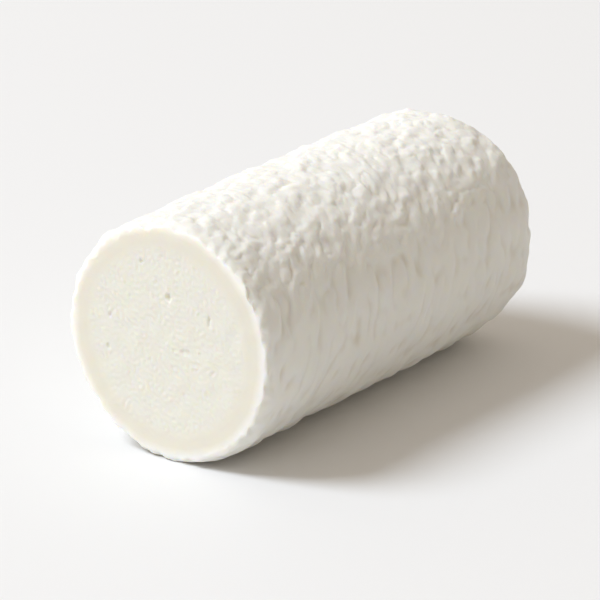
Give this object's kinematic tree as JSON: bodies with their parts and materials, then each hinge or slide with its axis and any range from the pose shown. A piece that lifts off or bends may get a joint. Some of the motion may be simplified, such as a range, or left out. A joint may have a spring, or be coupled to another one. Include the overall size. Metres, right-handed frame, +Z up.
{
  "type": "goat cheese log",
  "caption": "Soft goat cheese log lying on its side, with a wrinkled bloomy rind, a square cut end and a rounded whole end.",
  "frame": {"origin": "on the surface the log rests on, under the middle of the log", "axes": "+Z up; +Y along the log, from the cut end to the whole end; +X to the right, seen facing the cut end"},
  "size_m": [0.0509, 0.0988, 0.0499],
  "materials": {
    "bloomy_rind": "dry matte, white, with a fine velvety bloom; the cut end is moist, smooth and cream coloured"
  },
  "bodies": {
    "root": {"cheese_log": "bloomy_rind"}
  },
  "joints": []
}
